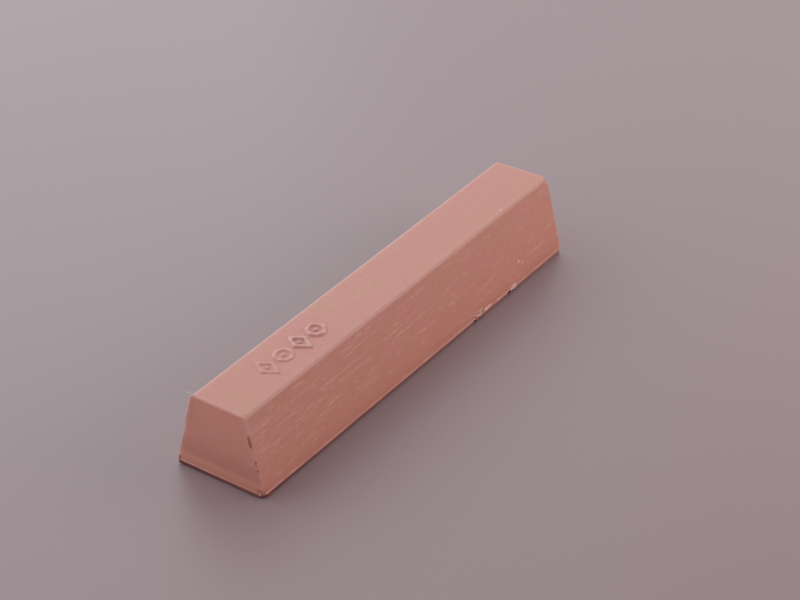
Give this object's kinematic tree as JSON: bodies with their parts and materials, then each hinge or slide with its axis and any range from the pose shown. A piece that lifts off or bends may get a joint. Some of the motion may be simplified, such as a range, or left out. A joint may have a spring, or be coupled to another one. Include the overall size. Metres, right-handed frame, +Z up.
{
  "type": "furniture repair wax stick",
  "caption": "Cast bar of brown filler wax with drafted sides, a foot band and raised marks, cut or melted to fill scratches in wooden furniture.",
  "frame": {"origin": "middle of the flat underside, on the surface the bar stands on", "axes": "+X along the bar, from the end with the raised marks to the plain end; +Y across the bar; +Z up, from the wide underside to the narrow top face"},
  "size_m": [0.08, 0.0154, 0.0133],
  "materials": {
    "cast_wax": "smooth cast wax, reddish brown, softly shining, with fine drag lines on the long sides"
  },
  "bodies": {
    "root": {"wax_bar": "cast_wax"}
  },
  "joints": []
}
